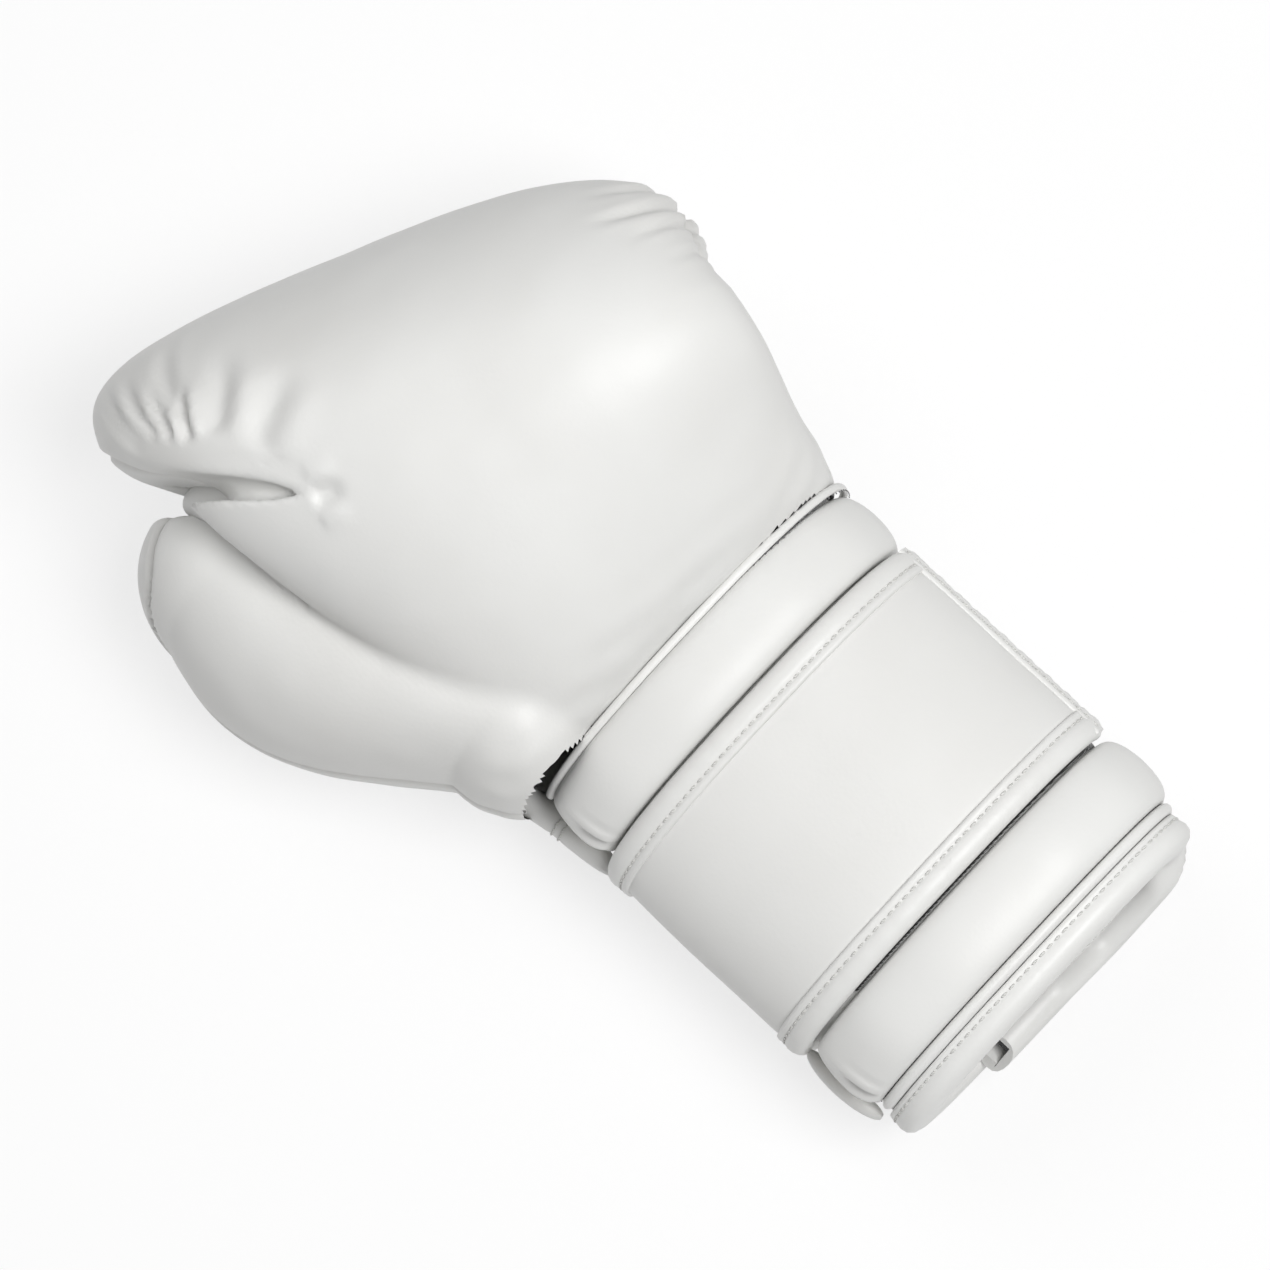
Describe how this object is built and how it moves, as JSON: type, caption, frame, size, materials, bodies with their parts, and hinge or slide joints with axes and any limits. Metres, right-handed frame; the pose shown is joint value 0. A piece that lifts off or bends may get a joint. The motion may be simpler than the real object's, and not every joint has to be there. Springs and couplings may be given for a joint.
{
  "type": "boxing glove",
  "caption": "Padded right-hand boxing glove with a curled fist, a tied thumb, a padded cuff and a wide wrap-round hook-and-loop wrist strap.",
  "frame": {"origin": "middle of the wrist opening, in the plane of the cuff's rim", "axes": "+X to the little-finger side, +Y from the cuff's rim to the knuckles, +Z to the back of the hand"},
  "size_m": [0.189, 0.2977, 0.1245],
  "materials": {
    "leather": "smooth semi-matt white",
    "binding_leather": "thin smooth white binding",
    "lining": "brushed lining cloth",
    "elastic": "woven elastic",
    "hook_and_loop": "black hook-and-loop pile",
    "foam": "moulded closed-cell foam"
  },
  "bodies": {
    "glove": {"back_shell": "leather", "palm_panel": "leather", "finger_panel": "leather", "thumb_outer_panel": "leather", "thumb_inner_panel": "leather", "back_foam": "foam", "palm_foam": "foam", "finger_foam": "foam", "thumb_foam": "foam", "hand_lining": "lining", "thumb_lining": "lining", "grip_bar": "leather", "thumb_tab": "leather", "upper_gusset": "leather", "lower_gusset": "leather", "cuff_cover": "leather", "cuff_foam": "foam", "cuff_lining": "lining", "elastic_gusset": "elastic", "wrist_welt": "binding_leather", "upper_roll_cover": "leather", "upper_roll_foam": "foam", "lower_roll_cover": "leather", "lower_roll_foam": "foam", "rim_piping": "binding_leather", "rim_binding": "binding_leather", "loop_patch": "hook_and_loop", "strap_anchor_cover": "leather", "strap_anchor_foam": "foam", "strap_anchor_binding": "binding_leather"},
    "strap_side": {"strap_side_cover": "leather", "strap_side_foam": "foam", "strap_side_binding": "binding_leather"},
    "strap_top": {"strap_top_cover": "leather", "strap_top_foam": "foam", "strap_top_binding": "binding_leather"},
    "strap_tip": {"strap_tip_cover": "leather", "strap_tip_foam": "foam", "strap_tip_binding": "binding_leather", "hook_patch": "hook_and_loop"}
  },
  "joints": [
    {"name": "strap_root_bend", "type": "hinge", "parent": "glove", "child": "strap_side", "pos_m": [-0.0457, 0.0728, -0.03071], "axis": [0, -1, 0], "range_deg": [0, 60]},
    {"name": "strap_corner_bend", "type": "hinge", "parent": "strap_side", "child": "strap_top", "pos_m": [-0.04885, 0.0728, 0.02837], "axis": [0, -1, 0], "range_deg": [0, 100]},
    {"name": "strap_tip_peel", "type": "hinge", "parent": "strap_top", "child": "strap_tip", "pos_m": [0.03248, 0.0728, 0.03696], "axis": [0, -1, 0], "range_deg": [0, 60]}
  ]
}
